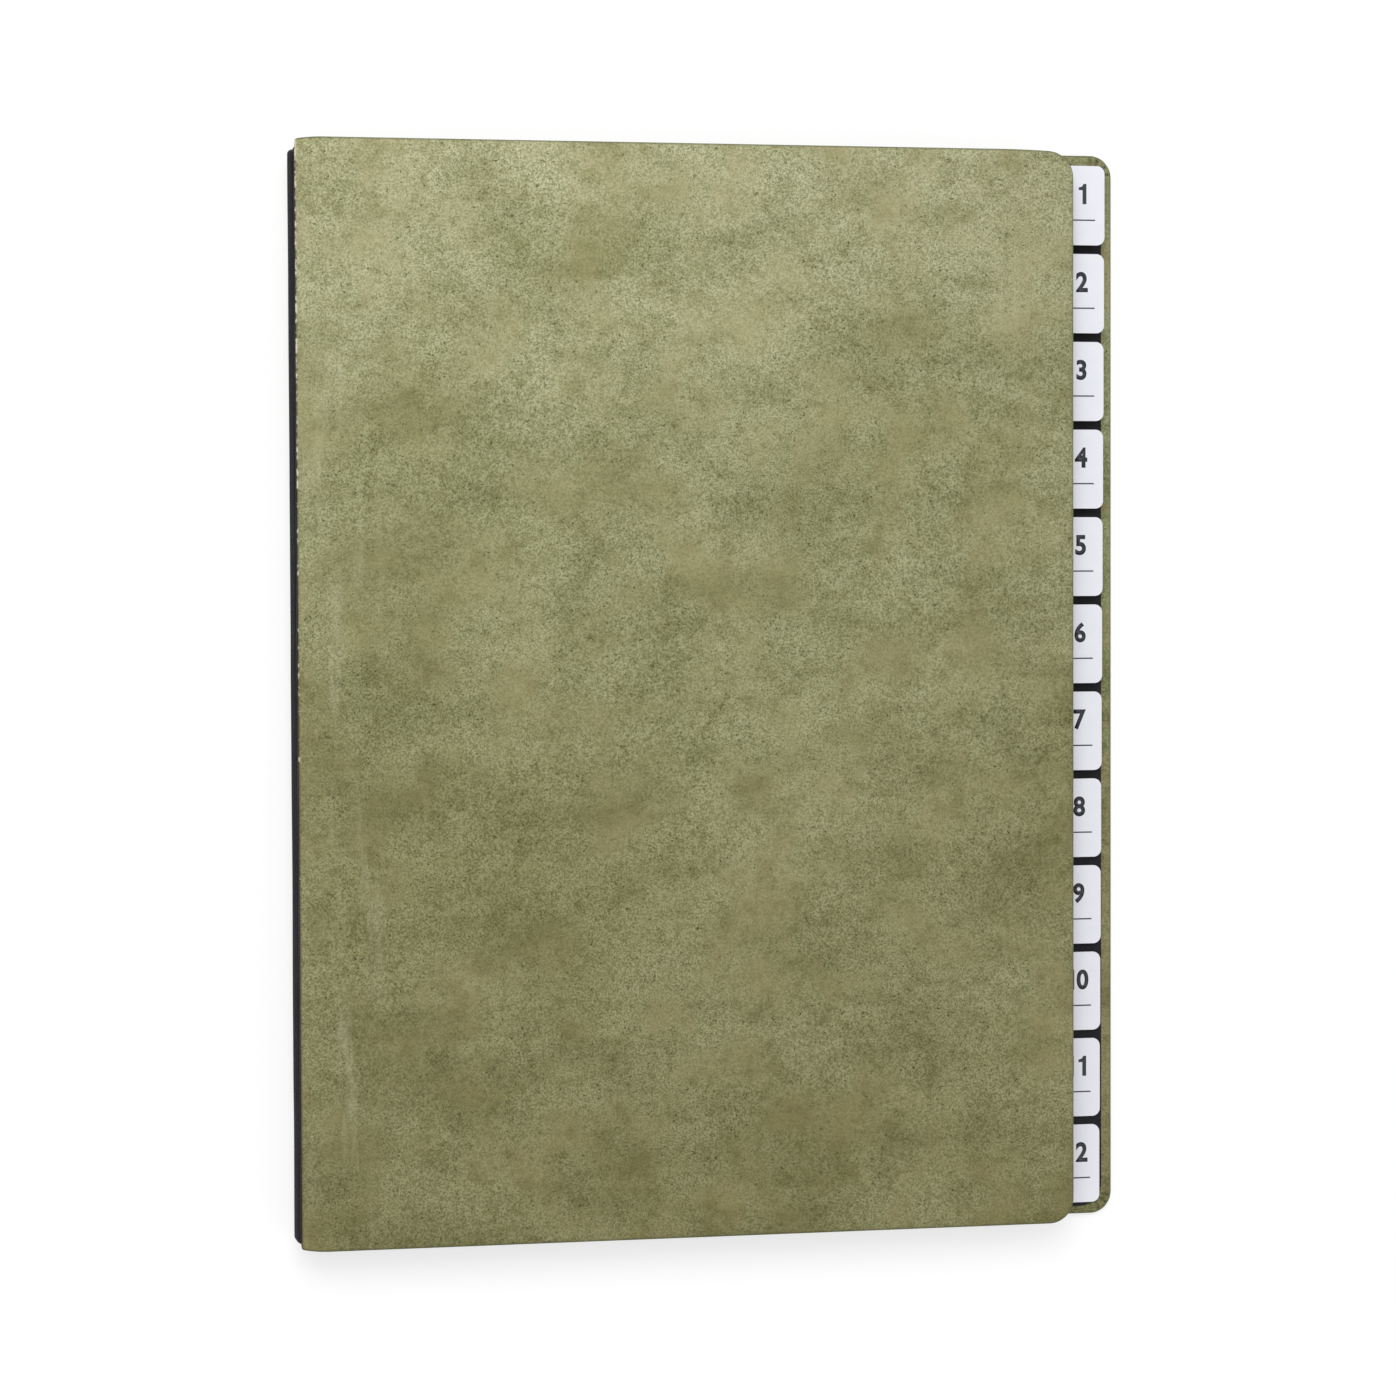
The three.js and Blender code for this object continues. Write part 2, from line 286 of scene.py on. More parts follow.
def split_leather(tree, place):
    """Olive split leather, drum dyed and waxed: a short matt nap with cloudy light and brown patches.

    The real nap is about 0.2 mm fine. It is drawn at 0.6 to 1.1 mm, so that it shows.
    """
    even = (1, 1, 1)
    # One hide, paler and greyer towards the head of the folder and browner towards its tail: partly the
    # hide's own tone, partly a painted sheen that grows towards the head, where the lamp stands.
    along = add(tree, "ShaderNodeSeparateXYZ", Vector=place).outputs["Y"]
    upper = add(tree, "ShaderNodeMapRange", Value=along, From_Min=-HIDE_REACH, From_Max=HIDE_REACH)
    colour = add(tree, "ShaderNodeMix", data_type="RGBA", Factor=upper, A="#918e68", B="#b5b791")
    # Painted sheen: the palest, greyest head end stands in for the lamp's soft highlight there
    head = add(tree, "ShaderNodeMapRange", Value=along, From_Min=0.45 * HIDE_REACH, From_Max=HIDE_REACH)
    colour = add(tree, "ShaderNodeMix", data_type="RGBA", Factor=head, A=colour, B="#c4c4a2")
    # Darker and greener towards the fore edge, most of all at the head: painted shade, standing in for the
    # light falling off on that side.
    across = add(tree, "ShaderNodeSeparateXYZ", Vector=place).outputs["X"]
    fore = add(
        tree, "ShaderNodeMapRange", Value=across, From_Min=-0.3 * HIDE_REACH, From_Max=0.66 * HIDE_REACH
    )
    fore = add(tree, "ShaderNodeMath", operation="MULTIPLY", Value=[fore, upper])
    colour = add(
        tree, "ShaderNodeMix", data_type="RGBA", blend_type="MULTIPLY", Factor=fore, A=colour, B="#ececea"
    )
    # Dye takes unevenly, in clouds of 7 to 80 mm
    colour = laid_over(
        tree,
        place,
        colour,
        (
            (80 * MM, 2.5, even, 0.40, 0.62, 1.0, "#efeee6", "MULTIPLY"),
            (34 * MM, 4.0, (0.8, 1.2, 1), 0.42, 0.66, 0.8, "#e4e5da", "MULTIPLY"),
            (16 * MM, 4.0, (0.6, 1.2, 1), 0.46, 0.70, 0.6, "#e2e4d8", "MULTIPLY"),
            (7 * MM, 3.0, even, 0.46, 0.70, 0.8, "#e6e4d8", "MULTIPLY"),
        ),
    )
    # The nap shows dark pores and pale fibre ends. It is rubbed down in patches, which look browner
    cloud = add(tree, "ShaderNodeTexNoise", Vector=place, Scale=1 / (24 * MM), Detail=4.0, Roughness=0.6)
    worn = add(tree, "ShaderNodeMapRange", Value=cloud, From_Min=0.46, From_Max=0.66)
    colour = add(
        tree, "ShaderNodeMix", data_type="RGBA", blend_type="MULTIPLY", Factor=worn, A=colour, B="#f0e8dc"
    )
    kept = add(tree, "ShaderNodeMapRange", Value=worn, To_Min=1.0, To_Max=0.45)
    colour = laid_over(
        tree,
        place,
        colour,
        (
            (2.6 * MM, 3.0, even, 0.44, 0.68, 0.8, "#e1e1d4", "MULTIPLY"),
            (1.1 * MM, 2.0, even, 0.50, 0.68, 0.45, "#d0d1be", "MULTIPLY"),
            (0.6 * MM, 1.0, even, 0.38, 0.62, 0.9, "#c6c7b4", "MULTIPLY"),
            (0.8 * MM, 1.0, even, 0.62, 0.76, 0.85, "#767a5c", "MULTIPLY"),
            (0.7 * MM, 1.5, even, 0.56, 0.74, 0.9, "#3f3b2c", "SCREEN"),
        ),
        kept,
    )
    # Handling marks: pale upright streaks where the leather bends at the joint
    joint = add(tree, "ShaderNodeAttribute", attribute_name="joint").outputs["Fac"]
    moved = add(tree, "ShaderNodeMapping", Vector=place, Scale=(1, 0.11, 1), Rotation=(0, 0, STREAK_LEAN))
    streak = add(tree, "ShaderNodeTexNoise", Vector=moved, Scale=1 / (6 * MM), Detail=3.0, Roughness=0.6)
    marks = add(tree, "ShaderNodeMapRange", Value=streak, From_Min=0.54, From_Max=0.72, To_Max=0.30)
    marks = add(tree, "ShaderNodeMath", operation="MULTIPLY", Value=[marks, joint])
    colour = add(tree, "ShaderNodeMix", data_type="RGBA", Factor=marks, A=colour, B="#c4c2a2")
    # The rolled edge is darker: partly rubbed wear, partly painted shade where the edge turns away from the
    # light
    roll = add(tree, "ShaderNodeAttribute", attribute_name="roll").outputs["Fac"]
    roll_wear_and_shade = add(tree, "ShaderNodeMapRange", Value=roll, From_Min=0.4, To_Max=0.85)
    colour = add(tree, "ShaderNodeMix", data_type="RGBA", Factor=roll_wear_and_shade, A=colour, B="#4c4f33")
    # The creases of the corners are darker: painted shade where the gathered leather folds in
    crease = add(tree, "ShaderNodeAttribute", attribute_name="crease").outputs["Fac"]
    painted_crease_shade = add(tree, "ShaderNodeMapRange", Value=crease, From_Min=0.3, To_Max=0.6)
    colour = add(tree, "ShaderNodeMix", data_type="RGBA", Factor=painted_crease_shade, A=colour, B="#45462e")
    # The cut edge shows undyed fibre: pinkish tan, with white flecks towards the head
    raw = add(tree, "ShaderNodeAttribute", attribute_name="raw").outputs["Fac"]
    fibre = add(tree, "ShaderNodeTexNoise", Vector=place, Scale=1 / (2.4 * MM), Detail=2.0, Roughness=0.6)
    pale = add(tree, "ShaderNodeMath", operation="MULTIPLY_ADD", Value=[upper, 0.35, fibre])
    pale = add(tree, "ShaderNodeMapRange", Value=pale, From_Min=0.74, From_Max=0.90)
    cut = add(tree, "ShaderNodeMix", data_type="RGBA", Factor=pale, A="#54463a", B="#dccfc0")
    colour = add(tree, "ShaderNodeMix", data_type="RGBA", Factor=raw, A=colour, B=cut)
    # Wax leaves smoother patches on the nap
    wax = add(tree, "ShaderNodeTexNoise", Vector=place, Scale=1 / (30 * MM), Detail=4.0)
    rough = add(tree, "ShaderNodeMapRange", Value=wax, From_Min=0.35, From_Max=0.7, To_Min=0.86, To_Max=0.70)
    grain = add(tree, "ShaderNodeTexNoise", Vector=place, Scale=1 / (4.5 * MM), Detail=3.0, Roughness=0.6)
    nap = add(tree, "ShaderNodeTexNoise", Vector=place, Scale=1 / (1.0 * MM), Detail=3.0, Roughness=0.7)
    normal = add(tree, "ShaderNodeBump", Height=grain, Distance=0.14 * MM)
    normal = add(tree, "ShaderNodeBump", Height=nap, Distance=0.14 * MM, Normal=normal)
    return {
        "Base_Color": colour,
        "Roughness": rough,
        "Normal": normal,
        "IOR": 1.45,
        "Specular_IOR_Level": 0.30,
        "Sheen_Weight": 0.10,
        "Sheen_Roughness": 0.5,
        "Sheen_Tint": "#d8dcb8",
    }


def lining_paper(tree, place):
    """Black dyed lining paper, calendered: only slightly shiny, with a fine felt mark and pale rubs."""
    felt = add(tree, "ShaderNodeTexNoise", Vector=place, Scale=1 / (1.4 * MM), Detail=4.0, Roughness=0.65)
    tone = add(tree, "ShaderNodeMix", data_type="RGBA", Factor=felt, A="#0d0d10", B="#18191d")
    rubs = (
        (38 * MM, 4.0, (1, 0.7, 1), 0.48, 0.72, 0.7, "#212227", "MIX"),
        (5 * MM, 3.0, (1, 0.5, 1), 0.58, 0.78, 0.5, "#2a2b30", "MIX"),
    )
    return {
        "Base_Color": laid_over(tree, place, tone, rubs),
        "Roughness": add(tree, "ShaderNodeMapRange", Value=felt, To_Min=0.42, To_Max=0.66),
        "Specular_IOR_Level": 0.18,
        "Normal": add(tree, "ShaderNodeBump", Height=felt, Distance=0.03 * MM),
    }


def black_card(tree, place):
    """Black through-dyed card, 300 grams a square metre, plate finished, with a faint fibre grain."""
    grain = add(tree, "ShaderNodeMapping", Vector=place, Scale=(1, 0.35, 1))
    fibre = add(tree, "ShaderNodeTexNoise", Vector=grain, Scale=1 / (1.1 * MM), Detail=4.0, Roughness=0.7)
    tone = add(tree, "ShaderNodeMix", data_type="RGBA", Factor=fibre, A="#0b0b0d", B="#16171b")
    handled = ((25 * MM, 2.0, (1, 1, 1), 0.4, 0.7, 0.5, "#1b1c20", "MIX"),)
    return {
        "Base_Color": laid_over(tree, place, tone, handled),
        "Roughness": add(tree, "ShaderNodeMapRange", Value=fibre, To_Min=0.42, To_Max=0.62),
        "Specular_IOR_Level": 0.17,
        "Normal": add(tree, "ShaderNodeBump", Height=fibre, Distance=0.03 * MM),
    }


def grey_board(tree, place):
    """Grey bookbinder's board, pressed from waste paper: dull, with pale and dark fibre flecks."""
    flecks = (
        (12 * MM, 3.0, (1, 1, 1), 0.35, 0.65, 1.0, "#948d80", "MIX"),
        (1.8 * MM, 4.0, (1, 1, 1), 0.55, 0.72, 0.6, "#5f594f", "MIX"),
    )
    press = add(tree, "ShaderNodeTexNoise", Vector=place, Scale=1 / (1.8 * MM), Detail=4.0, Roughness=0.7)
    return {
        "Base_Color": laid_over(tree, place, "#857e72", flecks),
        "Roughness": 0.95,
        "Specular_IOR_Level": 0.2,
        "Normal": add(tree, "ShaderNodeBump", Height=press, Distance=0.08 * MM),
    }


def book_cloth(tree, place):
    """Blue-black filled book cloth: a plain weave under a thin filler that catches light on a fold."""
    threads = [
        add(
            tree,
            "ShaderNodeTexWave",
            Vector=place,
            wave_type="BANDS",
            bands_direction=direction,
            Scale=WAVE_BANDS / THREAD_SPACING,
            Distortion=0.6,
            Detail=1.0,
        )
        for direction in ("Y", "Z")
    ]
    crossing = add(tree, "ShaderNodeMath", operation="MULTIPLY", Value=threads)
    tone = add(tree, "ShaderNodeMix", data_type="RGBA", Factor=crossing, A="#0a0b0f", B="#15161c")
    worn = ((9 * MM, 4.0, (1, 0.4, 1), 0.42, 0.70, 0.6, "#1b1c24", "MIX"),)
    filler = add(tree, "ShaderNodeTexNoise", Vector=place, Scale=1 / (6 * MM), Detail=4.0, Roughness=0.6)
    return {
        "Base_Color": laid_over(tree, place, tone, worn),
        "Roughness": add(tree, "ShaderNodeMapRange", Value=filler, To_Min=0.34, To_Max=0.60),
        "Specular_IOR_Level": 0.12,
        "Normal": add(tree, "ShaderNodeBump", Height=crossing, Distance=0.05 * MM),
    }


def label_paper(tree, place):
    """White coated paper behind clear film: bright, slightly blue and smooth, with a soft gloss."""
    ripple = add(tree, "ShaderNodeTexNoise", Vector=place, Scale=1 / (5 * MM), Detail=2.0)
    return {
        "Base_Color": add(tree, "ShaderNodeMix", data_type="RGBA", Factor=ripple, A="#e3e5ed", B="#ebecf2"),
        "Roughness": add(tree, "ShaderNodeMapRange", Value=ripple, To_Min=0.38, To_Max=0.48),
        "Specular_IOR_Level": 0.4,
        "Coat_Weight": 0.25,
        "Coat_Roughness": 0.18,
        "Normal": add(tree, "ShaderNodeBump", Height=ripple, Distance=0.02 * MM),
    }


def label_ink(tree, place):
    """Printed blue-grey black ink: flat on the paper and a little broken by it."""
    broken = ((0.5 * MM, 2.0, (1, 1, 1), 0.50, 0.80, 0.4, "#363941", "MIX"),)
    return {"Base_Color": laid_over(tree, place, "#1c1f26", broken), "Roughness": 0.5}


LEATHER = finish_of("olive_split_leather", split_leather)
LINING = finish_of("black_lining_paper", lining_paper)
CARD = finish_of("black_index_card", black_card)
BOARD = finish_of("grey_bookbinders_board", grey_board)
CLOTH = finish_of("black_book_cloth", book_cloth)
LABEL = finish_of("filmed_label_paper", label_paper)
INK = finish_of("printed_label_ink", label_ink)


def in_scene(name, data):
    """A new object in the scene that holds a mesh, a curve, a lamp or a camera."""
    thing = bpy.data.objects.new(name, data)
    bpy.context.scene.collection.objects.link(thing)
    return thing


def close_mesh(mesh):
    """Merges a mesh's doubled points, fills what is open and turns its smooth faces outwards."""
    made = bmesh.new()
    made.from_mesh(mesh)
    bmesh.ops.remove_doubles(made, verts=made.verts, dist=MERGE_DISTANCE)
    bmesh.ops.holes_fill(made, edges=[e for e in made.edges if e.is_boundary], sides=0)
    bmesh.ops.recalc_face_normals(made, faces=made.faces)
    for face in made.faces:
        face.smooth = True
    made.to_mesh(mesh)
    made.free()


def piece_from(name, points, faces, material, attributes=None):
    """A closed piece from points and faces, with the values of its attributes at each point."""
    mesh = bpy.data.meshes.new(name)
    mesh.from_pydata([tuple(p) for p in points], [], faces)
    for label, values in (attributes or {}).items():
        layer = mesh.attributes.new(label, "FLOAT", "POINT")
        layer.data.foreach_set("value", np.asarray(values, np.float32))
    close_mesh(mesh)
    mesh.materials.append(material)
    return in_scene(name, mesh)


class Cover:
    """The sizes of one leather cover, taken from its solids."""

    def __init__(self, side):
        self.corner = CORNER_RADIUS[side]
        self.hinge_corner = HINGE_RADIUS[side]
        self.head_dip = HEAD_DIP[side]
        leather_low, leather_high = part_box(f"{side}_leather")
        board_low, board_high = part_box(f"{side}_board")
        self.hinge_x = leather_low.x
        self.fore_x = leather_high.x
        self.half = leather_high.y
        self.outer_z = leather_low.z if side == "back" else leather_high.z
        self.up = 1 if side == "back" else -1
        board_inner = board_high.z if side == "back" else board_low.z
        self.board_depth = abs(board_inner - self.outer_z)
        self.thickness = self.board_depth + TURN_IN_THICKNESS

    def share(self, x):
        """0 at the board's edge and beyond, 1 at the hinge line."""
        return np.clip((self.hinge_x + JOINT_WIDTH - x) / JOINT_WIDTH, 0, 1)

    def point(self, x, y, depth):
        """A point at a depth under the face, with the joint's drop and round ends and the head's dip."""
        bent = self.share(x) ** 2
        past = np.clip(self.hinge_corner - (x - self.hinge_x), 0, self.hinge_corner)
        rounded = self.hinge_corner - np.sqrt(self.hinge_corner**2 - past**2)
        near_end = np.clip(1 - (self.half - np.abs(y)) / HINGE_CORNER_REACH, 0, 1)
        dip = self.head_dip * (y > 0) * np.clip(1 - (self.fore_x - x) / HEAD_DIP_REACH, 0, 1) ** 2
        set_back = y - np.sign(y) * near_end * (bent * SHOULDER_SETBACK + rounded + dip)
        return np.stack([x, set_back, self.outer_z + self.up * (depth + SHOULDER_DROP * bent)], -1)


def ring(cover, inset, offsets, rows):
    """Plan points of the cover's outline moved inwards, from the tail round the fore edge to the head."""
    centre = max(cover.corner, inset)
    radius = centre - inset
    along = cover.hinge_x + offsets * (cover.fore_x - centre - cover.hinge_x)
    up = rows * (cover.half - centre)
    angles = np.linspace(-math.pi / 2, 0, CORNER_STEPS + 1)
    tail = np.stack([along, np.full_like(along, inset - cover.half)], -1)
    low = np.stack(
        [
            cover.fore_x - centre + radius * np.cos(angles),
            centre - cover.half + radius * np.sin(angles),
        ],
        -1,
    )
    fore = np.stack([np.full_like(up, cover.fore_x - inset), up], -1)
    high = (low * (1, -1))[::-1]
    head = (tail * (1, -1))[::-1]
    return np.concatenate([tail[:-1], low, fore[1:-1], high, head[1:]])


def skin_section(cover):
    """The section through a cover's edge, as insets and depths: its outer side, and its flesh side."""
    roll = cover.thickness / 2
    angles = np.linspace(math.pi / 2, 3 * math.pi / 2, ROLL_STEPS + 1)
    outer = [(inset, cover.thickness) for inset in (TURN_IN_WIDTH, *TURN_IN_ROWS)]
    outer += [(roll + roll * math.cos(a), roll + roll * math.sin(a)) for a in angles]
    outer += [(inset, 0) for inset in (*FACE_ROWS, TURN_IN_WIDTH)]
    flesh = [
        (TURN_IN_WIDTH, LEATHER_THICKNESS),
        (LEATHER_THICKNESS, LEATHER_THICKNESS),
        (LEATHER_THICKNESS, cover.board_depth),
        (TURN_IN_WIDTH, cover.board_depth),
    ]
    return outer, flesh


def leather_cover(side):
    """The leather of a cover: face, rolled edges, gathered turn-in and cut edge, as one closed skin."""
    cover = Cover(side)
    thickness = cover.thickness
    width = cover.fore_x - cover.hinge_x
    near = np.linspace(0, 1, JOINT_STEPS + 1) ** JOINT_CROWDING * JOINT_ROWS_REACH * JOINT_WIDTH / width
    far = np.linspace(near[-1], 1, int((1 - near[-1]) * width / FACE_STEP) + 1)[1:]
    offsets = np.concatenate([near, far])
    rows = np.linspace(-1, 1, int(2 * cover.half / FACE_STEP) + 1)

    outer, flesh = skin_section(cover)
    chain = outer + flesh + outer[:1]
    under_face = (len(outer), len(outer) + 1)
    under_turn_in = (len(outer) + 2, len(outer) + 3)
    points, roll_values, crease_values = [], [], []
    for index, (inset, depth) in enumerate(chain):
        plan = ring(cover, inset, offsets, rows)
        share = cover.share(plan[:, 0])
        folded = thickness + (SKIVED_THICKNESS - thickness) * share
        if index in under_turn_in:
            depths = folded - (TURN_IN_THICKNESS + (SKIVED_TURN_IN - TURN_IN_THICKNESS) * share)
        elif index in under_face:
            depths = np.full(len(plan), depth)
        else:
            sunk = gathers(cover, plan, inset, depth)
            depths = depth * folded / thickness - GATHER_DEPTH * sunk
            depths = depths + face_wave(plan, side) * (1 - depth / thickness) ** 2
        points.append(cover.point(plan[:, 0], plan[:, 1], depths))
        roll_wear_and_shade = 1 - min(2 * inset / thickness, 1)
        roll_values.append(np.full(len(plan), roll_wear_and_shade if index < len(outer) else 0.0))
        crease_values.append(sunk if index < len(outer) else np.zeros(len(plan)))
    count = len(points[0])
    faces = []
    for k in [k for k in range(len(chain) - 1) if k != len(outer) - 1]:
        for j in range(count - 1):
            a, b = k * count + j, k * count + j + 1
            faces.append((a, b, b + count, a + count))

    # The middle of the outer face and of its flesh side, and the strip between them at the cut edge
    span = offsets * (cover.fore_x - TURN_IN_WIDTH - cover.hinge_x) + cover.hinge_x
    grid_x, grid_y = np.meshgrid(span, rows * (cover.half - TURN_IN_WIDTH), indexing="ij")
    flat = np.stack([grid_x.ravel(), grid_y.ravel()], -1)
    start = len(chain) * count
    across = len(rows)
    size = len(flat)
    points.append(cover.point(flat[:, 0], flat[:, 1], face_wave(flat, side)))
    points.append(cover.point(flat[:, 0], flat[:, 1], np.full(size, LEATHER_THICKNESS)))
    roll_values.append(np.zeros(2 * size))
    crease_values.append(np.zeros(2 * size))
    for i in range(len(span) - 1):
        for j in range(across - 1):
            a = start + i * across + j
            faces.append((a, a + 1, a + across + 1, a + across))
            faces.append(tuple(v + size for v in faces[-1]))
    for j in range(across - 1):
        a = start + j
        faces.append((a, a + 1, a + 1 + size, a + size))

    points = np.concatenate(points)
    from_hinge = points[:, 0] - cover.hinge_x
    values = {
        "roll": np.concatenate(roll_values),
        "crease": np.concatenate(crease_values),
        "joint": np.clip(1 - np.abs(from_hinge - MARKS_FROM_HINGE) / MARKS_FROM_HINGE, 0, 1) ** MARKS_FADE,
        "raw": np.clip(1 - (from_hinge - RAW_EDGE) / RAW_EDGE_FADE, 0, 1),
    }
    made = piece_from(f"{side}_cover_leather", points, faces, LEATHER, values)
    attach(made, f"{side}_cover")
    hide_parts(f"{side}_leather")


def face_wave(plan, side):
    """How far the outer face is sunk by the slight unevenness of a hand-laid skin."""
    shift = FACE_WAVE_SHIFT[side]
    places = [(x / FACE_WAVE_LENGTH + shift, y / FACE_WAVE_LENGTH, shift) for x, y in plan]
    waves = [noise.noise(Vector(place)) for place in places]
    return FACE_WAVE * np.clip(0.5 + 0.6 * np.array(waves), 0, 1)


def round_corner(cover, plan, inset):
    """The angle round a fore-edge corner, and whether a point lies in it."""
    centre = max(cover.corner, inset)
    past_x = plan[:, 0] - (cover.fore_x - centre)
    past_y = np.abs(plan[:, 1]) - (cover.half - centre)
    angle = np.arctan2(np.maximum(past_y, 0), np.maximum(past_x, 1e-9))
    return angle, (past_x > -CORNER_TOLERANCE) & (past_y > -CORNER_TOLERANCE)


def gathers(cover, plan, inset, depth):
    """How deep a point lies in the creases where the leather is gathered round a corner, from 0 to 1."""
    angle, inside = round_corner(cover, plan, inset)
    uneven = GATHER_UNEVENNESS * np.sin(GATHER_DRIFT[0] * angle + plan[:, 1] * GATHER_DRIFT[1])
    crease = np.sin(GATHERS * angle + uneven) ** 2
    turned_in = np.clip((depth / cover.thickness - 0.5) * 2, 0, 1)
    return np.where(inside, crease * turned_in, 0)


def stack_tree(name, finish):
    """Geometry nodes that repeat a piece along a line of steps and give it a finish."""
    tree = bpy.data.node_groups.new(name, "GeometryNodeTree")
    tree.interface.new_socket("Piece", in_out="INPUT", socket_type="NodeSocketGeometry")
    tree.interface.new_socket("Copies", in_out="INPUT", socket_type="NodeSocketInt")
    tree.interface.new_socket("Step", in_out="INPUT", socket_type="NodeSocketVector")
    tree.interface.new_socket("Pieces", in_out="OUTPUT", socket_type="NodeSocketGeometry")
    given = add(tree, "NodeGroupInput").outputs
    places = add(tree, "GeometryNodeMeshLine", mode="OFFSET", Count=given["Copies"], Offset=given["Step"])
    copies = add(tree, "GeometryNodeInstanceOnPoints", Points=places, Instance=given["Piece"])
    real = add(tree, "GeometryNodeRealizeInstances", Geometry=copies)
    finished = add(tree, "GeometryNodeSetMaterial", Geometry=real, Material=finish)
    add(tree, "NodeGroupOutput", Pieces=finished)
    return tree


def repeated(thing, tree, **inputs):
    """Runs a geometry nodes tree on a piece and leaves the result as its plain mesh."""
    modifier = thing.modifiers.new("repeat", "NODES")
    modifier.node_group = tree
    for item in tree.interface.items_tree:
        if item.in_out == "INPUT" and item.name in inputs:
            modifier[item.identifier] = inputs[item.name]
    graph = bpy.context.evaluated_depsgraph_get()
    made = bpy.data.meshes.new_from_object(thing.evaluated_get(graph))
    thing.modifiers.remove(modifier)
    thing.data = made


def offset_line(points, distance):
    """A line of points moved sideways by a distance."""
    along = np.gradient(points, axis=0)
    along /= np.linalg.norm(along, axis=1, keepdims=True)
    return points + distance * np.stack([-along[:, 1], along[:, 0]], -1)


def pleated_spine():
    """The cloth spine: twelve round pleats, a little uneven, with the corners of its ends rounded."""
    low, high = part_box("spine_bellows")
    hinge_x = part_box("back_leather")[0].x
    pitch = (high.z - low.z + PLEAT_FOLD_GAP) / PLEATS
    outer_radius = (pitch - PLEAT_FOLD_GAP - CLOTH_THICKNESS) / 2
    inner_radius = pitch / 2 - outer_radius
    first = low.z + (pitch - PLEAT_FOLD_GAP) / 2
    outer_x = hinge_x - SPINE_PROUD + outer_radius + CLOTH_THICKNESS / 2
    inner_x = hinge_x + PLEAT_DEPTH
    inner_turn = np.linspace(0, math.pi / 2, INNER_FOLD_STEPS + 1)
    outer_turn = np.linspace(-math.pi / 2, -3 * math.pi / 2, OUTER_FOLD_STEPS + 1)
    walls = np.linspace(inner_x, outer_x, PLEAT_WALL_STEPS + 1)[1:-1]
    inner_fold = [
        (inner_x + inner_radius * math.cos(a), -pitch / 2 + inner_radius * math.sin(a)) for a in inner_turn
    ]
    line = inner_fold + [(x, -outer_radius) for x in walls]
    line += [(outer_x + outer_radius * math.cos(a), outer_radius * math.sin(a)) for a in outer_turn]
    line += [(x, outer_radius) for x in walls[::-1]]
    line += [(x, -z) for x, z in inner_fold[::-1]]
    line = np.array(line) + (0, first)
    sides = [offset_line(line, CLOTH_THICKNESS / 2), offset_line(line, -CLOTH_THICKNESS / 2)[::-1]]
    section = np.concatenate(sides)
    head = high.y - SPINE_HEAD_SET_BACK
    stations = np.linspace(low.y, head, int((head - low.y) / SPINE_STEP) + 1)
    rounding = SPINE_CORNER_RADIUS * (1 - np.sin(np.linspace(*SPINE_CORNER_ANGLES, SPINE_CORNER_STEPS + 1)))
    stations = np.unique(np.round(np.concatenate([stations, head - rounding, low.y + rounding]), 6))
    points = np.array([(x, y, z) for y in stations for x, z in section])
    side = len(line)
    count = len(section)
    faces = []
    for k in range(len(stations) - 1):
        for i in [*range(side - 1), *range(side, count - 1)]:
            a, b = k * count + i, k * count + i + 1
            faces.append((a, b, b + count, a + count))
    for k in (0, len(stations) - 1):
        for i in range(side - 1):
            a, b = k * count + i, k * count + i + 1
            c, d = k * count + count - 1 - i, k * count + count - 2 - i
            faces.append((a, c, d, b))
    mesh = bpy.data.meshes.new("spine_pleats")
    mesh.from_pydata([tuple(p) for p in points], [], faces)
    thing = in_scene("spine_pleats", mesh)
    repeated(thing, stack_tree("pleat_stack", CLOTH), Copies=PLEATS, Step=(0, 0, pitch))

    middle = (low.z + high.z) / 2
    reach = (high.z - low.z) / 2
    for vertex in thing.data.vertices:
        x, y, z = vertex.co
        outward = max((inner_x - x) / PLEAT_DEPTH, 0)
        roundness = math.sqrt(max(1 - (1 - SPINE_FLATNESS) * ((z - middle) / reach) ** 2, 0))
        recess = SPINE_PROUD * (1 - roundness)
        past = max(y - (head - SPINE_CORNER_RADIUS), low.y + SPINE_CORNER_RADIUS - y, 0)
        recess += SPINE_CORNER_RADIUS - math.sqrt(max(SPINE_CORNER_RADIUS**2 - past**2, 0))
        place = Vector((y / SPINE_WAVE_LENGTH, z / SPINE_WAVE_ACROSS, 0.5))
        uneven = noise.noise(place) + SPINE_WAVE_BIAS
        vertex.co.x = x + outward * (recess + SPINE_WAVE * max(uneven, 0))
        near_head = np.clip(1 - (head - y) / SPINE_SLANT_REACH, 0, 1)
        vertex.co.y = y + SPINE_HEAD_SLANT * near_head * (high.z - z) / (high.z - low.z)
    close_mesh(thing.data)
    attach(thing, "leaf_block")
    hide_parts("spine_bellows")


def joint_cloth(side):
    """The narrow cloth that joins a cover's cut edge to the end pleat."""
    cover = Cover(side)
    low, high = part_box("spine_bellows")
    pleat_z = low.z if side == "back" else high.z
    hinge_z = cover.outer_z + cover.up * SHOULDER_DROP
    gap = abs(pleat_z - hinge_z)
    line = np.array(JOINT_CLOTH_LINE) * (MM, gap)
    section = np.concatenate([line, offset_line(line, -JOINT_CLOTH_THICKNESS)[::-1]])
    reach = min(high.y - SPINE_CORNER_RADIUS, cover.half - SHOULDER_SETBACK - cover.hinge_corner)
    stations = np.linspace(-reach, reach, JOINT_CLOTH_STATIONS)
    points = np.array(
        [(cover.hinge_x + x, y, hinge_z + cover.up * z) for y in stations for x, z in section]
    )
    count = len(section)
    faces = [tuple(range(count)), tuple(range(len(points) - count, len(points)))]
    for k in range(len(stations) - 1):
        for i in range(count):
            a, b = k * count + i, k * count + (i + 1) % count
            faces.append((a, b, b + count, a + count))
    made = piece_from(f"{side}_joint_cloth", points, faces, CLOTH)
    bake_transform(made)


